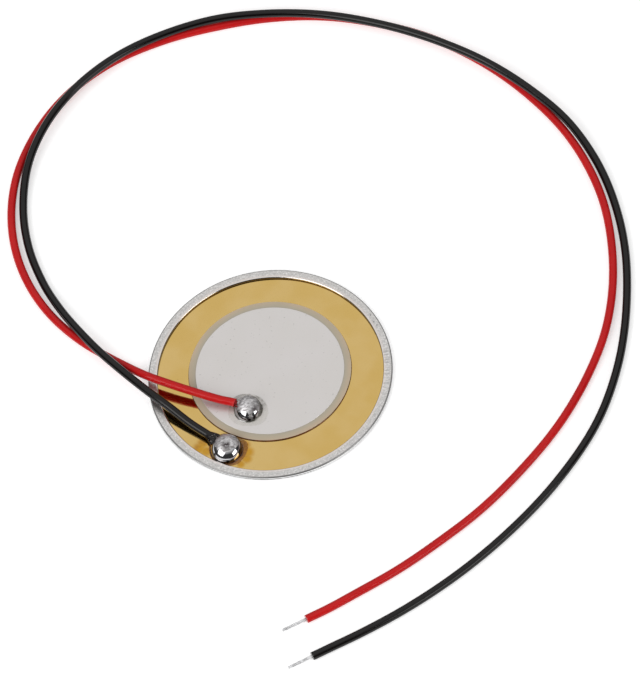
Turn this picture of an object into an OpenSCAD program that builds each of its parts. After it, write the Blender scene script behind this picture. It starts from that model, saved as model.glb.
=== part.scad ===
// Piezo disc: a brass diaphragm in a carrier ring, a silvered ceramic wafer bonded to it,
// and two soldered leads that lie in a loose loop beside it.
// Origin at the centre of the ring's underside, +Z up out of the ceramic's face.

/* [Brass plate] */
// Diameter of the brass diaphragm
plate_d = 34.9; // [29:0.1:37]
// Thickness of the brass diaphragm
plate_t = 0.25; // [0.1:0.05:0.5]

/* [Carrier ring] */
// Width of the lip that stands round the plate
lip_w = 1.5; // [1:0.1:3]
// Depth of the plate's face below the top of the lip
recess = 0.45; // [0.2:0.05:1]
// Width of the ledge that the plate rests on
ledge_w = 1.0; // [0.6:0.1:2]
// Thickness of the ledge under the plate
ledge_t = 0.2; // [0.15:0.05:0.5]
// Radial gap between the plate's rim and the lip
plate_gap = 0.05; // [0.02:0.01:0.1]
// Radius of the rounded outer shoulder of the lip
shoulder_r = 0.12; // [0.05:0.01:0.2]
// Chamfer round the lip's mouth and the ring's foot
edge_break = 0.06; // [0.02:0.01:0.1]

/* [Ceramic wafer] */
// Diameter of the ceramic wafer
ceramic_d = 25.0; // [20:0.1:30]
// Thickness of the ceramic wafer
ceramic_t = 0.25; // [0.15:0.05:0.5]
// How far the wafer sits off the plate's centre, away from the leads
ceramic_shift = 0.5; // [0:0.1:1]
// Chamfer round the wafer's upper edge
ceramic_break = 0.05; // [0.02:0.01:0.1]
// Width of bare ceramic left round the silver electrode
bare_margin = 1.2; // [0.6:0.1:2]
// Thickness of the fired silver electrode
electrode_t = 0.05; // [0.05:0.01:0.1]
// Thickness of the epoxy film under the wafer
bond_t = 0.05; // [0.05:0.01:0.1]
// How far the epoxy is squeezed out past the wafer's edge
bond_squeeze = 0.12; // [0.05:0.01:0.2]

/* [Solder joints] */
// Radius of the solder bead on the electrode, where it meets it
red_bead_r = 2.15; // [1.8:0.05:2.6]
// Height of that bead above the electrode
red_bead_h = 1.95; // [1.5:0.05:2.4]
// Distance of that bead's axis from the electrode's rim
red_bead_inset = 3.6; // [3:0.05:5]
// Direction of that bead from the wafer's centre, in degrees
red_bead_angle = 237; // [230:0.5:242]
// Height of the bead on the brass, which fills the annulus beside the wafer
black_bead_h = 2.15; // [1.6:0.05:2.6]
// Direction of that bead, in degrees
black_bead_angle = 235.5; // [228:0.5:243]
// Gap between the brass bead's foot and the wafer or the lip
bead_clear = 0.1; // [0.05:0.01:0.3]
// How far a bead's wetted foot spreads past the bead
foot_flare = 0.08; // [0.04:0.01:0.15]
// Height of the wetted foot
foot_h = 0.15; // [0.05:0.05:0.3]
// Gap round the end of the insulation, where it is let into the side of a bead
seat_gap = 0.05; // [0.02:0.01:0.1]
// Gap under the red lead's insulation where it leaves the electrode's bead
red_exit_gap = 0.25; // [0.15:0.05:0.5]
// Gap under the black lead's insulation where it leaves the brass's bead
black_exit_gap = 0.1; // [0.1:0.05:0.5]
// Distance from the bead's axis to the end of the red lead's insulation
red_exit_r = 2.15; // [1.9:0.05:2.5]
// Distance from the bead's axis to the end of the black lead's insulation
black_exit_r = 2.25; // [2:0.05:2.4]
// Direction in which the red lead leaves its bead, in degrees
red_exit_angle = 149; // [140:1:158]
// Direction in which the black lead leaves its bead, in degrees
black_exit_angle = 130; // [124:1:142]

/* [Leads] */
// Outer diameter of the insulation
lead_d = 1.3; // [0.9:0.05:1.6]
// Width of the black lead's insulation at its end, which the joint's heat melted
melt_w = 2.4; // [1.6:0.1:2.6]
// Length over which that end narrows to the lead's own width
melt_l = 1.4; // [1:0.1:3]
// Clearance between two leads where one passes over the other
cross_gap = 0.15; // [0.1:0.05:0.5]
// Length of bare strand at a lead's free end
tip_l = 4.0; // [2:0.5:8]
// Diameter of one strand
strand_d = 0.17; // [0.1:0.01:0.25]
// Number of strands round the middle one
outer_strands = 6; // [5:1:7]
// Turns that the strands make along a bare end
lay_turns = 0.5; // [0:0.1:2]

/* [Hidden] */

$fn = 96;
// Facets in the quarter circle of the ring's shoulder
shoulder_steps = 5;
// Sides of a lead's section, and rings in the first stretch of its route and in each other one
lead_sides = 8;
rings_at_exit = 6;
rings_per_stretch = 2;
// Sides of a strand, and slices along a bare end
strand_sides = 8;
tip_slices = 6;
// Distance of the outer strands from the middle one, in strand diameters
strand_pitch = 0.98;
// Radius of the strands that run into a bead, in strand diameters, with their tinning
core_strands = 2;

// Carrier ring, from the plate outwards
bore_r = plate_d / 2 + plate_gap;
ring_r = bore_r + lip_w;
ledge_r = bore_r - ledge_w;
ring_h = ledge_t + plate_t + recess;

// Faces of the stack, from the ledge upwards
plate_top = ledge_t + plate_t;
bond_top = plate_top + bond_t;
ceramic_top = bond_top + ceramic_t;
electrode_top = ceramic_top + electrode_t;
ceramic_centre = [0, ceramic_shift];
electrode_r = ceramic_d / 2 - bare_margin;

// Beads: the red lead's stands on the electrode, the black lead's fills the brass annulus
function polar(r, angle) = r * [cos(angle), sin(angle)];
red_bead = ceramic_centre + polar(electrode_r - red_bead_inset, red_bead_angle);
film_r = ceramic_d / 2 + bond_squeeze;
black_dir = polar(1, black_bead_angle);
// Distance from the plate's centre to the film's edge, along the black bead's direction
shift_along = ceramic_centre * black_dir;
film_edge = shift_along + sqrt(pow(shift_along, 2) - pow(ceramic_shift, 2) + pow(film_r, 2));
black_foot_r = (bore_r - film_edge) / 2 - bead_clear;
black_bead_r = black_foot_r - foot_flare;
black_bead = black_dir * (bore_r + film_edge) / 2;
core_r = core_strands * strand_d;

// Routes of the two leads: x and y in millimetres, then how many lead thicknesses the lead is
// lifted off the table (1 passes over the other lead).
red_route = [
    [-8, -4, 0.8], [-12, -2, 1.1], [-15.5, 0, 1.25], [-18.5, 2, 1.2], [-22, 5.5, 0.4],
    [-24, 7.5, 0.1], [-28, 11.5, 0], [-32, 17, 0], [-34.5, 22.5, 0], [-36, 29, 0],
    [-36, 37, 0], [-34.5, 43.5, 0], [-31, 50.5, 0], [-25.5, 57, 0], [-18, 62, 0],
    [-8.5, 65, 0], [0.5, 66, 0], [8, 66, 0], [17.5, 64.5, 0], [25.5, 61.5, 0],
    [33.5, 57, 0], [41, 50.5, 0], [47, 43, 0], [51.5, 35, 0], [54, 27.5, 0],
    [55, 22, 0], [55, 12, 0], [54, 5.5, 0], [51.5, -2.5, 0], [47.5, -10, 0],
    [42, -17.5, 0], [35, -24.5, 0], [27.5, -30.5, 0], [21, -34.5, 0], [14.5, -38, 0],
    [7.5, -41, 0], [2.5, -43, 0], [-0.5, -44, 0]
];
black_route = [
    [-13.4, -6.9, 0.6], [-16, -4, 1.05], [-19, -0.5, 1.15], [-22.5, 4, 1.15], [-26, 9, 1.05],
    [-27.5, 11.5, 1], [-30.5, 17.5, 0.5], [-32.5, 23, 0], [-34, 30, 0], [-34, 38, 0],
    [-32, 46, 0.5], [-28.5, 52, 0.95], [-23.5, 57.5, 1], [-16, 62.5, 1], [-7, 65.5, 1],
    [0.5, 66.5, 1], [8, 66, 1], [17, 64, 1], [25.5, 60.5, 1], [34, 55.5, 1],
    [41, 50, 1], [47, 43.5, 1], [52, 36.5, 0.7], [55, 29.5, 0.25], [57, 18, 0],
    [57, 12, 0], [56, 4, 0], [52, -10, 0], [48.5, -17, 0], [40, -27.5, 0],
    [32, -34.5, 0], [24, -40, 0], [14.5, -45, 0], [7, -48, 0], [2.5, -49.5, 0],
    [-0.5, -50.5, 0]
];

// Vector helpers
function unit(v) = v / norm(v);
function flat(p) = [p.x, p.y];

// A route point in space, from its lift in lead thicknesses
function lifted(p) = [p.x, p.y, lead_d / 2 + p.z * (lead_d + cross_gap)];

// Height of a lead's axis above its pad, from the gap under its insulation
function axis_h(exit_gap) = lead_d / 2 + exit_gap;

// The point where the insulation starts, round the tinned strands
function exit_point(bead, reach, pad_z, exit_gap, angle) =
    let (p = bead + polar(reach, angle))
    [p.x, p.y, pad_z + axis_h(exit_gap)];

// The whole run of a lead, from its joint to the end of its insulation
function run(exit, route) = concat([exit], [for (p = route) lifted(p)]);

// Slope of the smooth curve at point i of a run
function slope(pts, i, start) =
    i == 0 ? start :
    i == len(pts) - 1 ? unit(pts[i] - pts[i - 1]) :
    let (before = pts[i] - pts[i - 1], after = pts[i + 1] - pts[i],
         a = norm(before), b = norm(after))
    (before / a * b + after / b * a) / (a + b);

// Point at t, from 0 to 1, of the cubic between two points with given slopes
function cubic(p, m, q, n, t) =
    let (h = norm(q - p))
    p * (2 * pow(t, 3) - 3 * pow(t, 2) + 1) + m * h * (pow(t, 3) - 2 * pow(t, 2) + t)
    + q * (3 * pow(t, 2) - 2 * pow(t, 3)) + n * h * (pow(t, 3) - pow(t, 2));

// A lead can't sink into the table
function on_table(p) = [p.x, p.y, max(p.z, lead_d / 2)];

// Centres of the rings along a run
function centreline(pts, start) = [
    for (i = [0 : len(pts) - 2])
        let (rings = i == 0 ? rings_at_exit : rings_per_stretch)
        for (k = [0 : rings - 1])
            on_table(cubic(pts[i], slope(pts, i, start), pts[i + 1], slope(pts, i + 1, start),
                           k / rings)),
    pts[len(pts) - 1]
];

// Direction of the lead at ring i
function heading(line, i, start) =
    i == 0 ? start :
    i == len(line) - 1 ? unit(line[i] - line[i - 1]) :
    unit(line[i + 1] - line[i - 1]);

// Width of a lead at a distance from its end, where the insulation is end_w wide
function width_at(s, end_w) = lead_d + (end_w - lead_d) * max(0, 1 - s / melt_l);

// Points of one ring, square to the lead's direction and as wide as asked
function ring_points(centre, dir, width) =
    let (side = unit(cross([0, 0, 1], dir)), up = cross(dir, side))
    [for (k = [0 : lead_sides - 1])
        let (a = 360 * k / lead_sides)
        centre + width / 2 * cos(a) * side + lead_d / 2 * sin(a) * up];

// Level unit vector along the last stretch of a route
function end_dir(route) =
    let (last = len(route) - 1) unit(flat(route[last]) - flat(route[last - 1]));

// Bead of solder on a pad at the origin: a dome with a wetted foot, the tinned strands that run
// into it, and a seat cut in its flank for the end of the insulation, which is end_w wide
module solder_bead(base_r, dome_h, exit_gap, angle, reach, end_w) {
    ball_r = (pow(base_r, 2) + pow(dome_h, 2)) / (2 * dome_h);
    difference() {
        union() {
            intersection() {
                translate([0, 0, dome_h - ball_r]) sphere(r = ball_r);
                cylinder(r = 2 * ball_r, h = 2 * ball_r);
            }
            cylinder(r1 = base_r + foot_flare, r2 = base_r - foot_flare, h = foot_h);
        }
        rotate([0, 0, angle])
            translate([reach, -end_w / 2 - seat_gap, exit_gap - seat_gap])
                cube([ball_r, end_w + 2 * seat_gap, lead_d + 2 * seat_gap]);
    }
    translate([0, 0, axis_h(exit_gap)]) rotate([0, 90, angle]) cylinder(r = core_r, h = reach);
}

// Insulated lead, swept along its run as one closed skin, end_w wide at its joint
module insulated_lead(pts, exit_angle, end_w) {
    start = [cos(exit_angle), sin(exit_angle), 0];
    line = centreline(pts, start);
    rings = len(line);
    skin = [for (i = [0 : rings - 1])
        each ring_points(line[i], heading(line, i, start), width_at(norm(line[i] - line[0]), end_w))
    ];
    walls = [
        for (i = [0 : rings - 2], k = [0 : lead_sides - 1])
            let (a = i * lead_sides + k, b = i * lead_sides + (k + 1) % lead_sides)
            each [[a, a + lead_sides, b], [b, a + lead_sides, b + lead_sides]]
    ];
    near_end = [for (k = [0 : lead_sides - 1]) k];
    far_end = [for (k = [lead_sides - 1 : -1 : 0]) (rings - 1) * lead_sides + k];
    polyhedron(points = skin, faces = concat([near_end], walls, [far_end]));
}

// Section of a bare end: strands laid round a middle one, with tinning between them
module strand_section() {
    lay_r = strand_d * strand_pitch;
    circle(r = lay_r, $fn = 2 * outer_strands);
    for (k = [0 : outer_strands - 1])
        rotate(360 * k / outer_strands)
            translate([lay_r, 0]) circle(d = strand_d, $fn = strand_sides);
}

// Bare end, standing off the insulation's cut face
module bare_tip(route) {
    last = lifted(route[len(route) - 1]);
    dir = end_dir(route);
    translate(last) rotate([0, 90, atan2(dir.y, dir.x)])
        linear_extrude(height = tip_l, twist = 360 * lay_turns, slices = tip_slices,
                       $fn = strand_sides)
            strand_section();
}

// Half section of the ring: lip, shoulder, foot and the ledge under the plate
module ring_section() {
    polygon(concat(
        [[ledge_r, 0], [ring_r - edge_break, 0], [ring_r, edge_break]],
        [for (k = [0 : shoulder_steps])
            let (a = 90 * k / shoulder_steps)
            [ring_r - shoulder_r + shoulder_r * cos(a), ring_h - shoulder_r + shoulder_r * sin(a)]],
        [[bore_r + edge_break, ring_h], [bore_r, ring_h - edge_break],
         [bore_r, ledge_t], [ledge_r, ledge_t]]
    ));
}

module carrier_ring() {
    color([0.78, 0.78, 0.77]) rotate_extrude() ring_section();
}

module brass_plate() {
    color([0.79, 0.67, 0.39]) translate([0, 0, ledge_t]) cylinder(d = plate_d, h = plate_t);
}

module bond_film() {
    color([0.35, 0.22, 0.10]) translate([ceramic_centre.x, ceramic_centre.y, plate_top])
        cylinder(r = film_r, h = bond_t);
}

module ceramic_disc() {
    r = ceramic_d / 2;
    color([0.69, 0.65, 0.56]) translate([ceramic_centre.x, ceramic_centre.y, bond_top])
        rotate_extrude() polygon([[0, 0], [r, 0], [r, ceramic_t - ceramic_break],
                                  [r - ceramic_break, ceramic_t], [0, ceramic_t]]);
}

module silver_electrode() {
    color([0.81, 0.79, 0.78]) translate([ceramic_centre.x, ceramic_centre.y, ceramic_top])
        cylinder(r = electrode_r, h = electrode_t);
}

module red_solder_joint() {
    color([0.72, 0.72, 0.74]) translate([red_bead.x, red_bead.y, electrode_top])
        solder_bead(red_bead_r, red_bead_h, red_exit_gap, red_exit_angle, red_exit_r, lead_d);
}

module black_solder_joint() {
    color([0.72, 0.72, 0.74]) translate([black_bead.x, black_bead.y, plate_top])
        solder_bead(black_bead_r, black_bead_h, black_exit_gap, black_exit_angle, black_exit_r,
                    melt_w);
}

module red_lead() {
    exit = exit_point(red_bead, red_exit_r, electrode_top, red_exit_gap, red_exit_angle);
    color([0.72, 0.11, 0.14]) insulated_lead(run(exit, red_route), red_exit_angle, lead_d);
}

module black_lead() {
    exit = exit_point(black_bead, black_exit_r, plate_top, black_exit_gap, black_exit_angle);
    color([0.12, 0.11, 0.13])
        insulated_lead(run(exit, black_route), black_exit_angle, melt_w);
}

module red_lead_tip() {
    color([0.80, 0.80, 0.78]) bare_tip(red_route);
}

module black_lead_tip() {
    color([0.80, 0.80, 0.78]) bare_tip(black_route);
}

carrier_ring();
brass_plate();
bond_film();
ceramic_disc();
silver_electrode();
red_solder_joint();
black_solder_joint();
red_lead();
black_lead();
red_lead_tip();
black_lead_tip();
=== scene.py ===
"""Piezo disc with two soldered leads: fine shapes, finishes, lamps and camera on the CAD frame."""
import logging
import math
from dataclasses import dataclass
from enum import Enum
from typing import Callable, Optional, Sequence

import bpy
from mathutils import Matrix, Vector, noise


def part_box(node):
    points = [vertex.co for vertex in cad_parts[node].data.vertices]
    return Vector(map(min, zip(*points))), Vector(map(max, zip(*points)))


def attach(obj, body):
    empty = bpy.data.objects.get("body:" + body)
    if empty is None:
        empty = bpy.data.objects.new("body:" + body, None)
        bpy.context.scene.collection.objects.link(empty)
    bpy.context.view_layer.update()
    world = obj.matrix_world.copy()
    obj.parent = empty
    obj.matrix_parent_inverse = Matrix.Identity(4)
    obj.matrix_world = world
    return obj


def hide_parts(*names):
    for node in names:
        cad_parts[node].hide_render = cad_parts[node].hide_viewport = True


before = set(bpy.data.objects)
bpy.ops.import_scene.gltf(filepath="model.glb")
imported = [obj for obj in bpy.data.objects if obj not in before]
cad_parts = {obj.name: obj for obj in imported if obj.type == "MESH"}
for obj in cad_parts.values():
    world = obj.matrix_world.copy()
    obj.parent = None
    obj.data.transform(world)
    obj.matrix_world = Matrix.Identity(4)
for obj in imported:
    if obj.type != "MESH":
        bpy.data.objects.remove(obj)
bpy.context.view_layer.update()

MM = 0.001
ROOT = "root"
log = logging.getLogger("piezo_disc")

Colour = tuple[float, float, float, float]
Point = tuple[float, float, float]


# ---------------------------------------------------------------- helpers

def linear(hex_colour: str) -> Colour:
    """Turns an sRGB hex colour into Blender's linear one.

    Args:
        hex_colour: Six hex digits after a hash.

    Returns:
        Linear red, green, blue and an alpha of 1.
    """
    parts = [int(hex_colour[i:i + 2], 16) / 255 for i in (1, 3, 5)]
    r, g, b = [c / 12.92 if c <= 0.04045 else ((c + 0.055) / 1.055) ** 2.4 for c in parts]
    return (r, g, b, 1.0)


def add_node(tree: bpy.types.NodeTree, kind: str, inputs: Optional[dict] = None,
             **settings) -> bpy.types.Node:
    """Adds one node with its settings and links.

    Args:
        tree: The node tree to add to.
        kind: Blender's name for the node's type.
        inputs: For a socket's name or number, a value or the output to link from.
        settings: The node's own properties.

    Returns:
        The new node.
    """
    node = tree.nodes.new(kind)
    for key, value in settings.items():
        setattr(node, key, value)
    for key, value in (inputs or {}).items():
        if isinstance(value, bpy.types.NodeSocket):
            tree.links.new(value, node.inputs[key])
        else:
            node.inputs[key].default_value = value
    return node


def mesh_object(name: str, verts: Sequence, faces: Sequence, finishes: Sequence,
                slots: Optional[Sequence[int]] = None,
                uvs: Optional[Sequence] = None) -> bpy.types.Object:
    """Makes a mesh object at the origin: smooth, but for end caps of five corners or more.

    Args:
        name: The piece's name.
        verts: Corner positions in metres.
        faces: Corner numbers of each face.
        finishes: Materials, in slot order.
        slots: The material slot of each face, or none for the first.
        uvs: A (u, v) pair for each corner of each face in turn, or none.

    Returns:
        The new object, linked to the scene.
    """
    mesh = bpy.data.meshes.new(name)
    mesh.from_pydata([tuple(v) for v in verts], [], faces)
    for finish in finishes:
        mesh.materials.append(finish)
    for i, polygon in enumerate(mesh.polygons):
        polygon.use_smooth = len(polygon.vertices) < 5
        if slots:
            polygon.material_index = slots[i]
    if uvs:
        layer = mesh.uv_layers.new(name="along")
        for loop, uv in zip(layer.data, uvs):
            loop.uv = uv
    mesh.update()
    piece = bpy.data.objects.new(name, mesh)
    bpy.context.scene.collection.objects.link(piece)
    return piece


def place(piece: bpy.types.Object, slot: str, *nodes: str) -> bpy.types.Object:
    """Makes a piece ride on the root body in place of CAD nodes, and logs it.

    Args:
        piece: The finished piece.
        slot: The record's material slot meant for it; not used.
        nodes: The CAD nodes that it stands for, if any.

    Returns:
        The same piece.
    """
    if nodes:
        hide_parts(*nodes)
    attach(piece, ROOT)
    log.info("%s: %d faces, stands for %s", piece.name, len(piece.data.polygons),
             ", ".join(nodes) or "nothing in CAD")
    return piece


def polar(radius: float, angle: float) -> Vector:
    """Returns the level vector of that length, at that angle in radians."""
    return Vector((radius * math.cos(angle), radius * math.sin(angle), 0.0))


# ---------------------------------------------------------------- finishes

@dataclass(frozen=True)
class Finish:
    """A procedural material: the fields are its looks, and build() makes its nodes."""

    name: str
    colour: str
    roughness: float = 0.4
    metallic: float = 0.0

    def build(self) -> bpy.types.Material:
        """Makes the material and lets dress() add what is special to it.

        Returns:
            The finished material.
        """
        material = bpy.data.materials.new(self.name)
        material.use_nodes = True
        material.diffuse_color = linear(self.colour)
        tree = material.node_tree
        shader = tree.nodes["Principled BSDF"]
        shader.inputs["Base Color"].default_value = linear(self.colour)
        shader.inputs["Roughness"].default_value = self.roughness
        shader.inputs["Metallic"].default_value = self.metallic
        self.dress(tree, shader, self.place(tree))
        return material

    def place(self, tree: bpy.types.NodeTree) -> bpy.types.NodeSocket:
        """Returns the position that the pattern reads: the piece's own coordinates."""
        return add_node(tree, "ShaderNodeTexCoord").outputs["Object"]

    def dress(self, tree: bpy.types.NodeTree, shader: bpy.types.Node,
              where: bpy.types.NodeSocket) -> None:
        """Adds the pattern nodes. A plain finish has none."""

    def grain(self, tree: bpy.types.NodeTree, where: bpy.types.NodeSocket, size_mm: float,
              detail: float = 2.0, roughness: float = 0.5,
              distortion: float = 0.0) -> bpy.types.NodeSocket:
        """Adds noise of a real size.

        Args:
            tree: The material's nodes.
            where: The position to read.
            size_mm: The size of one blotch or grain in millimetres.
            detail: How many finer layers are added.
            roughness: How strong the finer layers are.
            distortion: How far the blotches are smeared.

        Returns:
            The noise, from 0 to 1.
        """
        return add_node(tree, "ShaderNodeTexNoise",
                        {"Vector": where, "Scale": 1 / (size_mm * MM), "Detail": detail,
                         "Roughness": roughness, "Distortion": distortion}).outputs["Fac"]

    def ramp(self, tree: bpy.types.NodeTree, value: bpy.types.NodeSocket, low: float,
             high: float, out_low: float = 0.0, out_high: float = 1.0) -> bpy.types.NodeSocket:
        """Maps low to high onto out_low to out_high, smoothly and held at both ends."""
        return add_node(tree, "ShaderNodeMapRange",
                        {"Value": value, "From Min": low, "From Max": high,
                         "To Min": out_low, "To Max": out_high},
                        interpolation_type="SMOOTHSTEP").outputs["Result"]

    def blend(self, tree: bpy.types.NodeTree, factor, first, second,
              mode: str = "MIX") -> bpy.types.NodeSocket:
        """Mixes two colours. Each is a hex colour or a socket."""
        inputs = {0: factor}
        for key, value in ((6, first), (7, second)):
            inputs[key] = linear(value) if isinstance(value, str) else value
        return add_node(tree, "ShaderNodeMix", inputs, data_type="RGBA",
                        blend_type=mode).outputs[2]

    def bump(self, tree: bpy.types.NodeTree, shader: bpy.types.Node,
             height: bpy.types.NodeSocket, depth_mm: float) -> None:
        """Adds a bump of a real depth in millimetres to the shader's normal."""
        node = add_node(tree, "ShaderNodeBump",
                        {"Height": height, "Strength": 1.0, "Distance": depth_mm * MM})
        tree.links.new(node.outputs["Normal"], shader.inputs["Normal"])

    def spot(self, tree: bpy.types.NodeTree, where: bpy.types.NodeSocket, centre: Point,
             inner_mm: float, outer_mm: float) -> bpy.types.NodeSocket:
        """Makes a soft round mask, 1 within inner_mm of a point and 0 past outer_mm."""
        away = add_node(tree, "ShaderNodeVectorMath", {0: where, 1: centre},
                        operation="DISTANCE").outputs["Value"]
        return self.ramp(tree, away, inner_mm * MM, outer_mm * MM, 1.0, 0.0)

    def combine(self, tree: bpy.types.NodeTree, first, second,
                operation: str = "MULTIPLY") -> bpy.types.NodeSocket:
        """Returns one plain sum on two values, each a number or a socket."""
        return add_node(tree, "ShaderNodeMath", {0: first, 1: second},
                        operation=operation).outputs[0]

    def radius(self, tree: bpy.types.NodeTree, where: bpy.types.NodeSocket,
               centre: Point = (0.0, 0.0, 0.0)) -> bpy.types.NodeSocket:
        """Returns the level distance from a vertical axis."""
        level = add_node(tree, "ShaderNodeVectorMath", {0: where, 1: (1.0, 1.0, 0.0)},
                         operation="MULTIPLY").outputs[0]
        axis = (centre[0], centre[1], 0.0)
        return add_node(tree, "ShaderNodeVectorMath", {0: level, 1: axis},
                        operation="DISTANCE").outputs["Value"]


@dataclass(frozen=True)
class RolledBrass(Finish):
    """Rolled brass strip, bright: nearly a mirror, with the mill's faint waves and flux stains."""

    stains: tuple[tuple[Point, float], ...] = ()

    def dress(self, tree, shader, where) -> None:
        """Adds tarnish clouds, flux stains and the strip's slight waves."""
        clouds = self.grain(tree, where, 6.0, 3.0)
        colour = self.blend(tree, self.ramp(tree, clouds, 0.35, 0.65), "#CDAF70", self.colour)
        blots = self.grain(tree, where, 0.9, 3.0)
        stained = 0.0
        for centre, size in self.stains:
            mask = self.spot(tree, where, centre, 0.3 * size, size)
            stained = self.combine(tree, stained, mask, "MAXIMUM")
        height = add_node(tree, "ShaderNodeSeparateXYZ", {0: where}).outputs["Z"]
        stained = self.combine(tree, stained, self.ramp(tree, height, 0.3 * MM, 0.4 * MM))
        broken = self.combine(tree, stained, self.ramp(tree, blots, 0.1, 0.7, 0.6, 1.0))
        tint = self.blend(tree, self.ramp(tree, blots, 0.35, 0.6), "#A67322", "#BD8E33")
        colour = self.blend(tree, broken, colour, tint)
        pits = self.grain(tree, where, 0.5, 1.0)
        colour = self.blend(tree, self.ramp(tree, pits, 0.18, 0.24, 0.45, 0.0), colour, "#8F7434")
        tree.links.new(colour, shader.inputs["Base Color"])
        rough = self.ramp(tree, self.grain(tree, where, 0.8, 3.0), 0.3, 0.8,
                          self.roughness, self.roughness + 0.06)
        tree.links.new(rough, shader.inputs["Roughness"])
        self.bump(tree, shader, self.grain(tree, where, 2.5, 1.0), 0.004)


@dataclass(frozen=True)
class StippledMetal(Finish):
    """Plated ring: satin, finely stippled by tumbling, paler where the plate's rim rubs it."""

    bore_mm: float = 17.5
    strokes: Point = (0.0, 0.0, 0.0)
    specks: tuple[Point, ...] = ()

    def dress(self, tree, shader, where) -> None:
        """Adds the stipple, the rubbed inner band, radial tool strokes and a few dark specks."""
        stipple = self.grain(tree, where, 0.28, 2.0, 0.6)
        colour = self.blend(tree, self.ramp(tree, stipple, 0.36, 0.48, 0.5, 0.0), self.colour,
                            "#A5A4A2")
        colour = self.blend(tree, self.ramp(tree, stipple, 0.54, 0.66, 0.0, 0.7), colour,
                            "#E9E7E5")
        away = self.radius(tree, where)
        rubbed = self.ramp(tree, away, (self.bore_mm + 0.15) * MM, (self.bore_mm + 0.6) * MM,
                           0.75, 0.0)
        colour = self.blend(tree, rubbed, colour, "#DDD2CC")
        axes = add_node(tree, "ShaderNodeSeparateXYZ", {0: where})
        turn = self.combine(tree, axes.outputs["Y"], axes.outputs["X"], "ARCTAN2")
        round_it = self.combine(tree, turn, self.bore_mm * MM)
        across = self.combine(tree, away, 0.12)
        ribs = self.grain(tree, add_node(tree, "ShaderNodeCombineXYZ",
                                         {"X": round_it, "Y": across}).outputs[0], 0.28, 1.0)
        inner = self.ramp(tree, away, (self.bore_mm + 0.75) * MM, (self.bore_mm + 1.15) * MM,
                          0.4, 0.0)
        tooled = self.combine(tree, self.spot(tree, where, self.strokes, 3.0, 6.0), inner)
        for low, high, ends, shade in ((0.38, 0.5, (1.0, 0.0), "#8E8C8B"),
                                       (0.54, 0.64, (0.0, 1.0), "#ECEAE8")):
            ribbed = self.combine(tree, self.ramp(tree, ribs, low, high, *ends), tooled)
            colour = self.blend(tree, ribbed, colour, shade)
        for speck in self.specks:
            colour = self.blend(tree, self.spot(tree, where, speck, 0.03, 0.16), colour,
                                "#5F5E5D")
        tree.links.new(colour, shader.inputs["Base Color"])
        self.bump(tree, shader, stipple, 0.006)


@dataclass(frozen=True)
class ShearedEdge(Finish):
    """Punched edge of the ring: burnished bright above, torn and rough below; the torn band's dark
    colour is partly painted shade for the shadowed floor reflected at the foot.
    """

    torn_and_shade: str = "#5C5B5A"
    torn_and_shade_mm: float = 0.32

    def dress(self, tree, shader, where) -> None:
        """Adds the dark torn band, partly painted shade, whose upper limit wanders and lies higher
        towards -X.
        """
        axes = add_node(tree, "ShaderNodeSeparateXYZ", {0: where}).outputs
        drift = self.combine(tree, self.grain(tree, where, 1.6, 2.0), 0.22 * MM)
        # The band, and with it the painted shade, reaches higher towards -X.
        higher_at_minus_x = self.ramp(tree, axes["X"], 0.0, 10 * MM, 0.2 * MM, 0.0)
        level = self.combine(tree, axes["Z"],
                             self.combine(tree, drift, higher_at_minus_x, "SUBTRACT"), "ADD")
        low = (self.torn_and_shade_mm + 0.08) * MM
        torn_and_shade = self.ramp(tree, level, low, low + 0.06 * MM, 1.0, 0.0)
        # Painted shade: the torn band's dark colour stands partly for the shadowed floor reflected at
        # the foot.
        tree.links.new(self.blend(tree, torn_and_shade, self.colour, self.torn_and_shade),
                       shader.inputs["Base Color"])
        rough = self.ramp(tree, torn_and_shade, 0.0, 1.0, self.roughness, 0.5)
        tree.links.new(rough, shader.inputs["Roughness"])
        self.bump(tree, shader, self.grain(tree, where, 0.18, 2.0), 0.004)


@dataclass(frozen=True)
class FiredSilver(Finish):
    """Silver paste fired on ceramic: pale, dull satin, with a faint cloud and pinholes."""

    def dress(self, tree, shader, where) -> None:
        """Adds clouds, pinholes and the print's fine tooth."""
        clouds = self.grain(tree, where, 7.0, 2.0)
        colour = self.blend(tree, self.ramp(tree, clouds, 0.3, 0.7), "#D7D3D1", self.colour)
        pits = self.grain(tree, where, 0.35, 1.0)
        colour = self.blend(tree, self.ramp(tree, pits, 0.22, 0.3, 0.5, 0.0), colour, "#A9A5A2")
        tree.links.new(colour, shader.inputs["Base Color"])
        self.bump(tree, shader, self.grain(tree, where, 0.12, 3.0), 0.003)


@dataclass(frozen=True)
class SinteredCeramic(Finish):
    """Sintered piezo ceramic: matt, grey-tan, with a fine even grain."""

    centre: Point = (0.0, 0.0, 0.0)
    rim_mm: float = 12.5

    def dress(self, tree, shader, where) -> None:
        """Adds grain and slow changes of tint, greyer beside the silver, rosier at the rim."""
        clouds = self.grain(tree, where, 4.0, 3.0)
        away = self.radius(tree, where, self.centre)
        outward = self.ramp(tree, away, (self.rim_mm - 1.1) * MM, (self.rim_mm - 0.1) * MM)
        colour = self.blend(tree, outward, "#B3AB99", "#C4B198")
        colour = self.blend(tree, self.ramp(tree, clouds, 0.3, 0.7, 0.6, 0.0), colour,
                            self.colour)
        tree.links.new(colour, shader.inputs["Base Color"])
        self.bump(tree, shader, self.grain(tree, where, 0.1, 2.0), 0.004)


@dataclass(frozen=True)
class CuredEpoxy(Finish):
    """Epoxy squeezed out under the wafer and baked: glossy, dark amber."""

    def dress(self, tree, shader, where) -> None:
        """Adds thick and thin stretches."""
        clouds = self.grain(tree, where, 1.5, 2.0)
        colour = self.blend(tree, self.ramp(tree, clouds, 0.35, 0.65), "#6B3A17", self.colour)
        tree.links.new(colour, shader.inputs["Base Color"])


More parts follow.
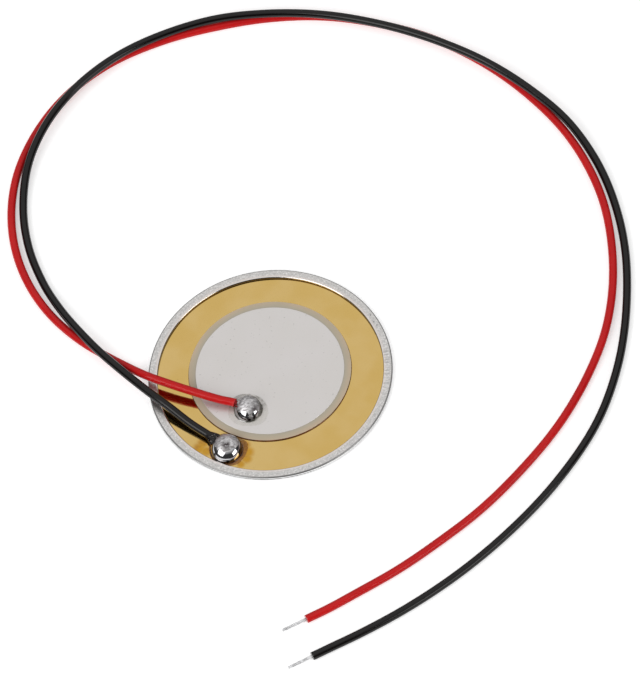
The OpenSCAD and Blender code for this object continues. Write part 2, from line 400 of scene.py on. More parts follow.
@dataclass(frozen=True)
class SetSolder(Finish):
    """Tin solder that froze in air: a mirror on its flanks, frosted and wrinkled on the crown."""

    crown: Point = (0.0, 0.0, 0.0)
    crown_mm: float = 2.0
    notches: tuple[tuple[Point, float], ...] = ()
    # Painted shade is placed by the crown's dark spot, the darker foot colour and the dark spots below.
    painted_dark_spot: Point = (0.0, 0.0, 0.0)
    foot: Point = (0.0, 0.0, 0.0)
    painted_foot_shade: str = "#6E6B5C"
    painted_shade_spots: tuple[Point, ...] = ()

    def dress(self, tree, shader, where) -> None:
        """Adds the frosted crown and bright notches, and painted shade: a dark rim along the frost's
        edge, a dark crown spot, a darker foot and dark low spots.
        """
        edge = self.combine(tree, self.grain(tree, where, 0.6, 2.0), 0.5, "SUBTRACT")
        crown = self.spot(tree, where, self.crown, 0.8 * self.crown_mm, 1.1 * self.crown_mm)
        frost = crown
        for centre, size in self.notches:
            notch = self.spot(tree, where, centre, 0.8 * size, 1.1 * size)
            frost = self.combine(tree, frost, notch, "SUBTRACT")
        frost = self.ramp(tree, self.combine(tree, frost, edge, "ADD"), 0.4, 0.6)
        rough = self.ramp(tree, frost, 0.0, 1.0, self.roughness, 0.5)
        tree.links.new(rough, shader.inputs["Roughness"])
        drawn = add_node(tree, "ShaderNodeMapping",
                         {"Vector": where, "Rotation": (0.0, 0.0, -0.35),
                          "Scale": (0.6, 1.7, 1.0)}).outputs[0]
        wrinkles = self.grain(tree, drawn, 0.55, 4.0, 0.65, 1.0)
        grey = self.blend(tree, self.ramp(tree, wrinkles, 0.38, 0.6), "#8F8C8C", "#D8D6D7")
        # Painted shade: a dark patch on the crown, standing for a dark reflection; it has no relief.
        pool = self.grain(tree, where, 0.35, 3.0)
        dark_spot_shade = self.combine(tree, self.spot(tree, where, self.painted_dark_spot, 0.2, 1.0),
                              self.ramp(tree, pool, 0.3, 0.5))
        grey = self.blend(tree, dark_spot_shade, grey, "#4C4647")
        colour = self.blend(tree, frost, self.colour, grey)
        # Painted shade: a dark rim along the edge of the frost, standing for a dark reflection.
        lip = self.combine(tree, frost, self.combine(tree, 1.0, frost, "SUBTRACT"))
        colour = self.blend(tree, self.ramp(tree, lip, 0.1, 0.22, 0.0, 0.8), colour, "#2E2B2C")
        # Painted shade: the foot is darkened low down, more at the back and right.
        local = add_node(tree, "ShaderNodeVectorMath", {0: where, 1: self.foot},
                         operation="SUBTRACT").outputs[0]
        level = add_node(tree, "ShaderNodeVectorMath", {0: local, 1: (-0.2, -0.24, 1.0)},
                         operation="DOT_PRODUCT").outputs["Value"]
        foot_shade = self.ramp(tree, level, 0.55 * MM, 0.9 * MM, 0.75, 0.0)
        colour = self.blend(tree, foot_shade, colour, self.painted_foot_shade)
        # Painted shade: dark spots low on the bead, standing for dark reflections.
        for shade_spot in self.painted_shade_spots:
            colour = self.blend(tree, self.spot(tree, where, shade_spot, 0.15, 0.42), colour,
                                "#231D1C")
        tree.links.new(colour, shader.inputs["Base Color"])
        height = self.combine(tree, wrinkles, frost)
        self.bump(tree, shader, height, 0.02)


@dataclass(frozen=True)
class FluxResidue(Finish):
    """Rosin flux left round a joint: a glassy tinted film, thick against the bead."""

    centre: Point = (0.0, 0.0, 0.0)
    near_mm: float = 2.5
    far_mm: float = 3.1
    near_alpha: float = 0.5
    far_alpha: float = 0.3
    far_colour: str = "#FFFFFF"

    def dress(self, tree, shader, where) -> None:
        """Makes the film see-through, thinner outwards and uneven."""
        away = self.radius(tree, where, self.centre)
        drift = self.combine(tree, self.grain(tree, where, 1.2, 2.0), 0.5 * MM)
        away = self.combine(tree, away, drift, "ADD")
        outward = self.ramp(tree, away, (self.near_mm + 0.25) * MM, (self.far_mm + 0.25) * MM)
        tree.links.new(self.blend(tree, outward, self.colour, self.far_colour),
                       shader.inputs["Base Color"])
        alpha = self.ramp(tree, outward, 0.0, 1.0, self.near_alpha, self.far_alpha)
        tree.links.new(alpha, shader.inputs["Alpha"])
        self.bump(tree, shader, self.grain(tree, where, 0.8, 2.0), 0.01)


@dataclass(frozen=True)
class ExtrudedVinyl(Finish):
    """PVC insulation, extruded: a soft gloss dulled by plasticiser, with a fine orange peel."""

    streak: str = "#FFFFFF"
    shine: float = 0.2
    melted_mm: float = 0.0

    def place(self, tree) -> bpy.types.NodeSocket:
        """Returns the lead's own map: round it, then along it, in metres."""
        return add_node(tree, "ShaderNodeUVMap", uv_map="along").outputs["UV"]

    def dress(self, tree, shader, where) -> None:
        """Adds slow changes of shade along the wire and a fine orange peel."""
        clouds = self.grain(tree, where, 9.0, 3.0)
        colour = self.blend(tree, self.ramp(tree, clouds, 0.3, 0.7), self.streak, self.colour)
        shader.inputs["Specular IOR Level"].default_value = self.shine
        peel = self.grain(tree, where, 0.35, 2.0)
        if not self.melted_mm:
            tree.links.new(colour, shader.inputs["Base Color"])
            self.bump(tree, shader, peel, 0.006)
            return
        along = add_node(tree, "ShaderNodeSeparateXYZ", {0: where}).outputs["Y"]
        end = self.ramp(tree, along, 0.3 * self.melted_mm * MM, self.melted_mm * MM, 1.0, 0.0)
        blisters_and_glints = self.combine(tree, self.grain(tree, where, 0.22, 3.0), end)
        # Painted highlight: the blisters are light grey, standing for glints on them; their relief is
        # in the bump.
        colour = self.blend(tree, self.ramp(tree, blisters_and_glints, 0.56, 0.66), colour, "#8E8682")
        tree.links.new(colour, shader.inputs["Base Color"])
        height = self.combine(tree, self.combine(tree, blisters_and_glints, 9.0), peel, "ADD")
        self.bump(tree, shader, height, 0.006)


@dataclass(frozen=True)
class DippedTin(Finish):
    """Copper strand dipped in tin: dull bright, with thick and thin places."""

    def dress(self, tree, shader, where) -> None:
        """Adds the uneven dip."""
        clouds = self.grain(tree, where, 0.5, 2.0)
        colour = self.blend(tree, self.ramp(tree, clouds, 0.35, 0.65), "#CFCFD0", self.colour)
        tree.links.new(colour, shader.inputs["Base Color"])
        self.bump(tree, shader, clouds, 0.02)


# ---------------------------------------------------------------- camera, lamps and floor

@dataclass(frozen=True)
class Studio:
    """The camera, a plain pale floor, a dome of soft light and two low window lamps."""

    elevation: float = 57.2
    roll: float = 9.4
    distance: float = 1.0
    target: Point = (0.008371, 0.005236, 0.0)
    lens_mm: float = 346.2
    floor_size: float = 6.0
    floor_drop: float = 0.00002

    def camera(self) -> None:
        """Makes the camera and hands it to the scene."""
        tilt, roll = math.radians(self.elevation), math.radians(self.roll)
        back = Vector((0, -math.cos(tilt), math.sin(tilt)))
        level, upright = Vector((1, 0, 0)), Vector((0, math.sin(tilt), math.cos(tilt)))
        right = math.cos(roll) * level - math.sin(roll) * upright
        up = math.sin(roll) * level + math.cos(roll) * upright
        data = bpy.data.cameras.new("camera")
        data.lens = self.lens_mm
        data.sensor_width = 36
        data.clip_start, data.clip_end = 0.01, 50
        camera = bpy.data.objects.new("camera", data)
        turn = Matrix((right, up, back)).transposed().to_4x4()
        camera.matrix_world = Matrix.Translation(Vector(self.target) + self.distance * back) @ turn
        bpy.context.scene.collection.objects.link(camera)
        bpy.context.scene.camera = camera

    def floor(self) -> None:
        """Makes the floor: white to the eye and to gloss, and it still takes shadows."""
        half = self.floor_size / 2
        corners = [(-half, -half), (half, -half), (half, half), (-half, half)]
        material = bpy.data.materials.new("white_floor")
        material.use_nodes = True
        tree = material.node_tree
        tree.nodes.clear()
        path = add_node(tree, "ShaderNodeLightPath")
        seen = path.outputs["Is Camera Ray"]
        for ray in ("Is Glossy Ray", "Is Transmission Ray"):
            seen = add_node(tree, "ShaderNodeMath", {0: seen, 1: path.outputs[ray]},
                            operation="MAXIMUM").outputs[0]
        glow = add_node(tree, "ShaderNodeMath", {0: seen, 1: 0.45}, operation="MULTIPLY")
        light = add_node(tree, "ShaderNodeEmission",
                         {"Color": (1, 1, 1, 1), "Strength": glow.outputs[0]})
        paint = add_node(tree, "ShaderNodeBsdfDiffuse", {"Color": linear("#F2F2F2")})
        both = add_node(tree, "ShaderNodeAddShader",
                        {0: paint.outputs[0], 1: light.outputs[0]})
        add_node(tree, "ShaderNodeOutputMaterial", {"Surface": both.outputs[0]})
        floor = mesh_object("floor", [(x, y, -self.floor_drop) for x, y in corners],
                            [(0, 1, 2, 3)], [material])

    def dome(self) -> None:
        """Makes the sky: even for paint; for gloss darker low down, most of all in front."""
        world = bpy.data.worlds.new("dome")
        bpy.context.scene.world = world
        world.use_nodes = True
        tree = world.node_tree
        tree.nodes.clear()
        path = add_node(tree, "ShaderNodeLightPath")
        ray = add_node(tree, "ShaderNodeTexCoord").outputs["Generated"]
        height = add_node(tree, "ShaderNodeVectorMath", {0: ray, 1: (0.0, 0.35, 1.0)},
                          operation="DOT_PRODUCT").outputs["Value"]
        fade = add_node(tree, "ShaderNodeMapRange",
                        {"Value": height, "From Min": 0.35, "From Max": 0.95,
                         "To Min": 0.05, "To Max": 1.0}, interpolation_type="SMOOTHSTEP")
        even = add_node(tree, "ShaderNodeBackground", {"Color": (1, 1, 1, 1), "Strength": 0.45})
        shaded = add_node(tree, "ShaderNodeBackground",
                          {"Color": (1, 1, 1, 1), "Strength": fade.outputs[0]})
        white = add_node(tree, "ShaderNodeBackground", {"Color": (1, 1, 1, 1), "Strength": 1.0})
        gloss = add_node(tree, "ShaderNodeMixShader",
                         {0: path.outputs["Is Glossy Ray"], 1: even.outputs[0],
                          2: shaded.outputs[0]})
        seen = add_node(tree, "ShaderNodeMixShader",
                        {0: path.outputs["Is Camera Ray"], 1: gloss.outputs[0],
                         2: white.outputs[0]})
        add_node(tree, "ShaderNodeOutputWorld", {"Surface": seen.outputs[0]})

    def lamp(self, name: str, azimuth: float, elevation: float, size: tuple[float, float],
             watts: float, away: float = 1.2) -> None:
        """Hangs one window lamp that faces the disc.

        Args:
            name: The lamp's name.
            azimuth: Its direction in degrees, from +X towards +Y.
            elevation: Its height above the floor in degrees.
            size: Its width and height in metres.
            watts: Its power.
            away: Its distance in metres.
        """
        data = bpy.data.lights.new(name, "AREA")
        data.shape = "RECTANGLE"
        data.size, data.size_y = size
        data.energy = watts
        lamp = bpy.data.objects.new(name, data)
        a, e = math.radians(azimuth), math.radians(elevation)
        aim = Vector((math.cos(a) * math.cos(e), math.sin(a) * math.cos(e), math.sin(e)))
        lamp.location = away * aim
        lamp.rotation_mode = "QUATERNION"
        lamp.rotation_quaternion = aim.to_track_quat("Z", "Y")
        bpy.context.scene.collection.objects.link(lamp)

    def build(self) -> None:
        """Sets up the camera, the floor and all the light."""
        self.camera()
        self.floor()
        self.dome()
        self.lamp("window_left", 215, 41, (0.82, 0.82), 7.1)
        self.lamp("window_right", 322, 24, (0.7, 0.58), 4.2)
        settings = bpy.context.scene.view_settings
        settings.view_transform = "Standard"


# ---------------------------------------------------------------- turned parts

def turned(name: str, profile: Sequence[tuple[float, float]], centre: Vector, steps: int,
           finishes: Sequence, slots: Optional[Sequence[int]] = None,
           edge: Optional[Callable[[float, int], float]] = None) -> bpy.types.Object:
    """Turns a closed half section round a vertical axis. Level faces stay flat.

    Args:
        name: The piece's name.
        profile: (radius, height) corners, anticlockwise as seen with the axis on the left.
        centre: The axis's place.
        steps: How many steps go round.
        finishes: Materials, in slot order.
        slots: The material slot of each side of the profile.
        edge: How far corner k stands out at an angle, in metres, if it isn't true.

    Returns:
        The turned piece, a closed skin.
    """
    verts, faces, face_slots = [], [], []
    n = len(profile)
    for i in range(steps):
        angle = 2 * math.pi * i / steps
        for k, (radius, height) in enumerate(profile):
            out = radius + (edge(angle, k) if edge and radius > 0 else 0.0)
            verts.append(centre + polar(out, angle) + Vector((0, 0, height)))
    for i in range(steps):
        j = (i + 1) % steps
        for k in range(n):
            m = (k + 1) % n
            if profile[k][0] == 0 and profile[m][0] == 0:
                continue
            corners = [i * n + k, j * n + k, j * n + m, i * n + m]
            if profile[k][0] == 0:
                corners = [k, j * n + m, i * n + m]
            elif profile[m][0] == 0:
                corners = [i * n + k, j * n + k, m]
            faces.append(corners)
            face_slots.append(slots[k] if slots else 0)
    used = sorted({v for face in faces for v in face})
    number = {v: i for i, v in enumerate(used)}
    faces = [[number[v] for v in face] for face in faces]
    piece = mesh_object(name, [verts[v] for v in used], faces, finishes, face_slots)
    for polygon in piece.data.polygons:
        polygon.use_smooth = abs(polygon.normal.z) < 0.999
    return piece


def arc(centre: tuple[float, float], radius: float, start: float, end: float,
        steps: int) -> list[tuple[float, float]]:
    """Returns points along an arc, from start to end in degrees."""
    turns = [math.radians(start + (end - start) * i / steps) for i in range(steps + 1)]
    return [(centre[0] + radius * math.cos(a), centre[1] + radius * math.sin(a)) for a in turns]


@dataclass
class CarrierRing:
    """The ring round the plate: a ledge under it, and a lip swaged a hair over its rim."""

    ledge_width: float = 1.0 * MM
    ledge_thickness: float = 0.2 * MM
    lip_width: float = 1.5 * MM
    tumbled: float = 0.2 * MM
    shoulder: float = 0.2 * MM
    mouth: float = 0.18 * MM
    foot: float = 0.22 * MM
    waist: float = 0.35 * MM
    swage: float = 0.13 * MM
    steps: int = 512

    def build(self) -> None:
        """Turns the ring and dresses its face and its outer wall."""
        _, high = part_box("carrier_ring")
        outer, top = high.x, high.z
        bore = outer - self.lip_width
        neck = bore - self.swage
        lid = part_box("brass_plate")[1].z + 0.01 * MM
        face = StippledMetal("tumbled_plating", "#C8C6C4", 0.36, 1.0, neck / MM,
                             (0.0176, -0.0028, top),
                             ((0.01661, 0.00739, top), (0.01691, 0.00607, top),
                              (0.01732, 0.0054, top))).build()
        wall = ShearedEdge("sheared_edge", "#ECECEC", 0.2, 1.0).build()
        turnover = Finish("rolled_over_edge", "#8C8B8A", 0.3, 1.0).build()
        # Painted shade: the bore wall's dark brown colour stands for the shade in the recess.
        bore_wall = Finish("bore_painted_shade", "#7A684C", 0.3, 1.0).build()
        mouth = Finish("burnished_mouth", "#DDD8D4", 0.14, 1.0).build()
        outer -= self.tumbled
        profile = [(bore - self.ledge_width, 0.0), (outer - self.foot, 0.0)]
        profile += [(outer, self.waist)]
        profile += arc((outer - self.shoulder, top - self.shoulder), self.shoulder, 0, 90, 6)
        profile += arc((neck + self.mouth, top - self.mouth), self.mouth, 90, 180, 4)
        profile += [(neck, lid), (bore, lid), (bore, self.ledge_thickness),
                    (bore - self.ledge_width, self.ledge_thickness)]
        slots = [0, 1, 1] + [2] * 6 + [0] + [4] * 4 + [3, 3, 3, 0, 0]
        ring = turned("ring", profile, Vector(), self.steps,
                      [face, wall, turnover, bore_wall, mouth], slots)
        place(ring, "ring_metal", "carrier_ring")


@dataclass
class PiezoStack:
    """The brass plate with the wafer bonded on it: film, ceramic and electrode."""

    steps: int = 384
    wafer_break: float = 0.05 * MM
    wafer_grow: float = 0.01 * MM
    print_spread: float = 0.17 * MM
    print_wander: float = 0.04 * MM
    squeeze_out: float = 0.12 * MM

    def plate(self) -> None:
        """Dresses the brass plate, with the stains that hot flux left beside the black joint."""
        stains = (((-0.0056, -0.0119, 0.00045), 1.3), ((-0.0053, -0.0132, 0.00045), 1.4),
                  ((-0.0056, -0.0143, 0.00045), 1.2), ((-0.0066, -0.0151, 0.00045), 0.9),
                  ((-0.0118, -0.0103, 0.00045), 1.3), ((-0.0125, -0.0111, 0.00045), 1.4),
                  ((-0.0115, -0.0118, 0.00045), 1.2))
        brass = RolledBrass("rolled_brass", "#C9A964", 0.07, 1.0, stains).build()
        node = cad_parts["brass_plate"]
        node.data.materials.clear()
        node.data.materials.append(brass)

    def wafer(self) -> None:
        """Turns the ceramic, with the small break that tumbling leaves on its edge."""
        low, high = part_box("ceramic_disc")
        radius = (high.x - low.x) / 2 + self.wafer_grow
        centre = Vector(((low.x + high.x) / 2, (low.y + high.y) / 2, 0))
        ceramic = SinteredCeramic("sintered_ceramic", "#B3A994", 0.55, 0.0, tuple(centre),
                                  radius / MM).build()
        profile = [(0, low.z), (radius, low.z)]
        profile += arc((radius - self.wafer_break, high.z - self.wafer_break),
                       self.wafer_break, 0, 90, 4)
        profile += [(0, high.z)]
        place(turned("wafer", profile, centre, self.steps, [ceramic]),
              "piezo_ceramic", "ceramic_disc")

    def film(self) -> None:
        """Turns the epoxy's squeeze-out: a fillet up the wafer's edge, wide and narrow by turns."""
        low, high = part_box("bond_film")
        _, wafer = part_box("ceramic_disc")
        radius = (high.x - low.x) / 2
        centre = Vector(((low.x + high.x) / 2, (low.y + high.y) / 2, 0))
        edge = radius - self.squeeze_out
        crest = wafer.z - self.wafer_break

        def wander(angle: float, corner: int) -> float:
            """Draws the toe of the fillet in and out as it goes round."""
            if corner not in (1, 2):
                return 0.0
            drift = noise.noise(polar(2.2, angle))
            return -0.04 * MM + 0.04 * MM * drift

        profile = [(0, low.z), (radius, low.z), (radius - 0.01 * MM, low.z + 0.03 * MM),
                   (edge + 0.05 * MM, low.z + 0.14 * MM), (edge + 0.012 * MM, crest),
                   (edge - 0.02 * MM, crest), (edge - 0.02 * MM, high.z), (0, high.z)]
        epoxy = CuredEpoxy("cured_epoxy", "#3E1E0E", 0.18).build()
        place(turned("squeeze_out", profile, centre, self.steps, [epoxy], edge=wander),
              "epoxy", "bond_film")

    def electrode(self) -> None:
        """Turns the fired silver, whose printed edge wanders a little."""
        low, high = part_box("silver_electrode")
        radius = (high.x - low.x) / 2 + self.print_spread
        centre = Vector(((low.x + high.x) / 2, (low.y + high.y) / 2, 0))
        silver = FiredSilver("fired_silver", "#D5D1CE", 0.4, 0.6).build()

        def wander(angle: float, corner: int) -> float:
            """Moves the printed edge in and out by a hair."""
            return -self.print_wander * (0.5 + 0.5 * noise.noise(polar(5.0, angle)))

        lip = 0.3 * (high.z - low.z)
        profile = [(0, low.z), (radius, low.z), (radius - lip, high.z - lip),
                   (radius - 3 * lip, high.z), (0, high.z)]
        place(turned("electrode", profile, centre, self.steps, [silver], edge=wander),
              "fired_silver", "silver_electrode")

    def build(self) -> None:
        """Makes the whole stack."""
        self.plate()
        self.film()
        self.wafer()
        self.electrode()


# ---------------------------------------------------------------- solder joints

def tube(line: Sequence[Vector], radii: Sequence[tuple[float, float]],
         sides: int) -> tuple[list, list]:
    """Sweeps oval sections along a line, with closed ends.

    Args:
        line: Centres of the sections.
        radii: The half width and half height of each section.
        sides: How many corners each section has.

    Returns:
        The corners, and the faces that name them.
    """
    verts, faces = [], []
    for i, (centre, (wide, tall)) in enumerate(zip(line, radii)):
        ahead = line[min(i + 1, len(line) - 1)] - line[max(i - 1, 0)]
        ahead.normalize()
        side = Vector((0, 0, 1)).cross(ahead).normalized()
        up = ahead.cross(side)
        for k in range(sides):
            a = 2 * math.pi * k / sides
            verts.append(centre + wide * math.cos(a) * side + tall * math.sin(a) * up)
    for i in range(len(line) - 1):
        for k in range(sides):
            a, b = i * sides + k, i * sides + (k + 1) % sides
            faces.append((a, b, b + sides, a + sides))
    faces.append(tuple(range(sides - 1, -1, -1)))
    faces.append(tuple((len(line) - 1) * sides + k for k in range(sides)))
    return verts, faces


def reach_at(reaches: Sequence[float], turn: float) -> float:
    """Returns a smooth distance at an angle, from distances at even angles in millimetres."""
    place = turn / (2 * math.pi) * len(reaches)
    i = math.floor(place)
    t = place - i
    before, low, high, after = [reaches[(i + k) % len(reaches)] for k in (-1, 0, 1, 2)]
    bend = (high - low) * t + ((high - before) * t * (1 - t) ** 2
                               - (after - low) * t * t * (1 - t)) / 2
    smooth = low + bend - (high - low) * t * (1 - t) * (1 - 2 * t)
    return smooth * MM


@dataclass
class SolderJoint:
    """A full dome of solder with its wetted foot, the strands running in, and a ring of flux."""

    node: str
    base_radius: float
    height: float
    fullness: float
    front: float
    lean: Point
    exit_angle: float
    exit_reach: float
    exit_gap: float
    solder: Callable[["SolderJoint"], Finish]
    flux: Callable[["SolderJoint"], Finish]
    flux_reaches: Sequence[float]
    flat: Point
    flat_depth: float
    flat_width: float
    seed: float
    foot_flare: float = 0.08 * MM
    foot_height: float = 0.15 * MM
    lead: float = 1.3 * MM
    core: float = 0.36 * MM
    flux_height: float = 0.07 * MM
    rows: int = 90
    steps: int = 160

    @property
    def pad(self) -> Vector:
        """Centre of the bead on its pad, on the box's clear sides."""
        low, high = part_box(self.node)
        foot = self.base_radius + self.foot_flare
        return Vector((high.x - foot, low.y + foot, low.z))

    @property
    def leave(self) -> Vector:
        """Level direction in which the lead leaves."""
        return polar(1.0, math.radians(self.exit_angle))

    @property
    def exit(self) -> Vector:
        """The point where the insulation starts."""
        height = self.exit_gap + self.lead / 2
        return self.pad + self.exit_reach * self.leave + Vector((0, 0, height))

    def at(self, x_mm: float, y_mm: float, z_mm: float) -> Point:
        """Returns a place given in millimetres from the middle of the pad."""
        return tuple(self.pad + MM * Vector((x_mm, y_mm, z_mm)))

    def skin(self, share: float, turn: float) -> Vector:
        """Returns a point of the dome from the middle of the pad.

        The flank rises steeply at the back and slopes more in front, where the iron left it.

        Args:
            share: How far down from the crown, from 0 to 1.
            turn: Where round the dome, in radians.
        """
        tip = math.pi / 2 * (1 - (1 - share) ** 1.4)
        facing = (1 - math.sin(turn)) / 2
        rise = self.fullness + (self.front - self.fullness) * facing
        out = self.base_radius * math.sin(tip) ** (2 / self.fullness)
        level = max(0.0, math.cos(tip)) ** (2 / rise)
        point = polar(out, turn) + level * (MM * Vector(self.lean))
        point.z = self.height * level
        place = point.normalized()
        lump = noise.noise(1.5 * place + Vector((self.seed, 0, 0)))
        fine = noise.noise(5.0 * place + Vector((0, self.seed, 0)))
        away = (point - MM * Vector(self.flat)).length / self.flat_width
        dent = self.flat_depth * math.exp(-away * away / 2)
        point = point * (0.988 + 0.008 * lump + 0.002 * fine) - dent * place
        low = 1 - min(max(point.z, 0.0) / self.foot_height, 1.0)
        return point + self.foot_flare * low * low * polar(1.0, turn)

    def dome(self) -> bpy.types.Object:
        """Makes the dome, slumped and dimpled a little, and the solder wicked up the strands.

        Returns:
            The bead.
        """
        verts, n, pad = [], self.steps, self.pad
        for i in range(1, self.rows + 1):
            verts += [pad + self.skin(i / self.rows, 2 * math.pi * k / n) for k in range(n)]
        faces = []
        for i in range(self.rows - 1):
            for k in range(n):
                m = (k + 1) % n
                faces.append((i * n + k, (i + 1) * n + k, (i + 1) * n + m, i * n + m))
        top, bottom = len(verts), len(verts) + 1
        verts += [pad + self.skin(0.0, 0.0), pad]
        base = (self.rows - 1) * n
        for k in range(n):
            m = (k + 1) % n
            faces += [(top, k, m), (bottom, base + m, base + k)]
        wick = [(0.6, 1.7), (0.72, 1.6), (0.8, 1.35), (0.87, 1.15), (0.94, 1.03), (1.03, 1.0)]
        axis = self.exit - self.exit_reach * self.leave
        line = [axis + share * self.exit_reach * self.leave for share, _ in wick]
        more, sides = tube(line, [(self.core * wide, self.core * wide) for _, wide in wick], 24)
        faces += [tuple(v + len(verts) for v in face) for face in sides]
        return mesh_object(self.node.replace("solder_joint", "bead"), verts + more, faces,
                           [self.solder(self).build()])

    def film(self) -> bpy.types.Object:
        """Makes the ring of flux: a thin skin that thins out to a rounded rim.

        Returns:
            The flux ring, one closed skin.
        """
        pad, verts, faces = self.pad, [], []
        heights = [(0.0, 1.6), (0.25, 1.1), (0.5, 0.85), (0.8, 0.75), (0.93, 0.6), (1.0, 0.12)]
        n, inner = self.steps, 0.9 * self.base_radius
        turns = [2 * math.pi * k / n for k in range(n)]
        outers = [max(reach_at(self.flux_reaches, turn), inner + 0.05 * MM) for turn in turns]
        for share, height in heights:
            for turn, outer in zip(turns, outers):
                wobble = 1 + 0.15 * noise.noise(polar(2.0, turn) + Vector((0, 0, self.seed)))
                verts.append(pad + polar(inner + (outer - inner) * share, turn)
                             + Vector((0, 0, self.flux_height * height * wobble)))
        verts += [pad + polar(outer, turn) for turn, outer in zip(turns, outers)]
        verts += [pad + polar(inner, turn) for turn in turns]
        loops = len(heights) + 2
        for i in range(loops):
            j = (i + 1) % loops
            for k in range(n):
                m = (k + 1) % n
                faces.append((i * n + k, j * n + k, j * n + m, i * n + m))
        return mesh_object(self.node.replace("solder_joint", "flux"), verts, faces,
                           [self.flux(self).build()])

    def build(self) -> None:
        """Makes the bead and its flux."""
        place(self.dome(), "solder", self.node)
        place(self.film(), "epoxy")


# ---------------------------------------------------------------- leads

class CutEnd(Enum):
    """How the insulation ends at its joint: half its width there, and how far its top leans."""

    SQUARE = (0.68 * MM, 0.05 * MM)
    MELTED = (1.2 * MM, 0.4 * MM)


@dataclass
class Lead:
    """An insulated lead that lies along its route, with a bare end of twisted strands."""

    node: str
    joint: SolderJoint
    route: Sequence[tuple[float, float, float]]
    insulation: Finish
    cut: CutEnd
    thickness: float = 1.3 * MM
    crossing_gap: float = 0.15 * MM
    melt_length: float = 1.4 * MM
    steps_at_exit: int = 40
    steps_a_stretch: int = 12
    sides: int = 24

    def points(self) -> list[Vector]:
        """Returns the route's points in space, after the exit from the joint."""
        lift = self.thickness + self.crossing_gap
        return [self.joint.exit] + [Vector((x, y, self.thickness / 2 + k * lift))
                                    for x, y, k in self.route]

    def slope(self, points: Sequence[Vector], i: int) -> Vector:
        """Returns the direction of the smooth line at point i."""
        if i == 0:
            return self.joint.leave
        before = points[i] - points[i - 1]
        a = before.length
        if i == len(points) - 1:
            return before / a
        after = points[i + 1] - points[i]
        b = after.length
        return (before / a * b + after / b * a) / (a + b)

    def line(self) -> list[Vector]:
        """Returns the smooth centre line, with many points in each stretch."""
        points, line = self.points(), []
        for i in range(len(points) - 1):
            p, q = points[i], points[i + 1]
            m, n, h = self.slope(points, i), self.slope(points, i + 1), (q - p).length
            steps = self.steps_at_exit if i == 0 else self.steps_a_stretch
            for k in range(steps):
                t = k / steps
                spot = (p * (2 * t ** 3 - 3 * t ** 2 + 1) + m * h * (t ** 3 - 2 * t ** 2 + t)
                        + q * (3 * t ** 2 - 2 * t ** 3) + n * h * (t ** 3 - t ** 2))
                spot.z = max(spot.z, self.thickness / 2)
                line.append(spot)
        return line + [points[-1]]

    def section(self, along: float) -> tuple[float, float]:
        """Returns the insulation's half width and half height at a distance from the joint."""
        plain = self.thickness / 2
        wide, _ = self.cut.value
        swell = max(0.0, 1 - along / self.melt_length)
        if self.cut is CutEnd.SQUARE:
            swell = max(0.0, 1 - along / (0.4 * MM))
            return plain + (wide - plain) * swell, plain
        higher_at_minus_x = min(1.0, along / (0.25 * MM))
        round_off = 0.8 + 0.2 * math.sqrt(1 - (1 - higher_at_minus_x) ** 2)
        return (plain + (wide - plain) * swell) * round_off, plain * round_off

    def build(self) -> None:
        line = self.line()
        along = [0.0]
        for a, b in zip(line, line[1:]):
            along.append(along[-1] + (b - a).length)
        verts, faces = tube(line, [self.section(s) for s in along], self.sides)
        lean = self.cut.value[1]
        for i in range(self.steps_at_exit):
            share = max(0.0, 1 - along[i] / (0.6 * MM)) * lean
            for k in range(i * self.sides, (i + 1) * self.sides):
                rise = (verts[k].z - line[i].z) / self.thickness + 0.5
                verts[k] = verts[k] - share * max(0.0, rise) * self.joint.leave
        uvs = []
        round_it = 2 * math.pi * self.thickness / 2
        for i in range(len(line) - 1):
            for k in range(self.sides):
                u0, u1 = round_it * k / self.sides, round_it * (k + 1) / self.sides
                uvs += [(u0, along[i]), (u1, along[i]), (u1, along[i + 1]), (u0, along[i + 1])]
        uvs += [(0.0, 0.0)] * self.sides + [(0.0, along[-1])] * self.sides
        lead = mesh_object(self.node, verts, faces, [self.insulation.build()], uvs=uvs)
        lead.name = self.node.replace("_lead", "_wire")
        tip = StrandEnd(self.node + "_tip", line[-1], (line[-1] - line[-2]).normalized()).build()
        place(lead, self.node.replace("_lead", "_insulation"), self.node)


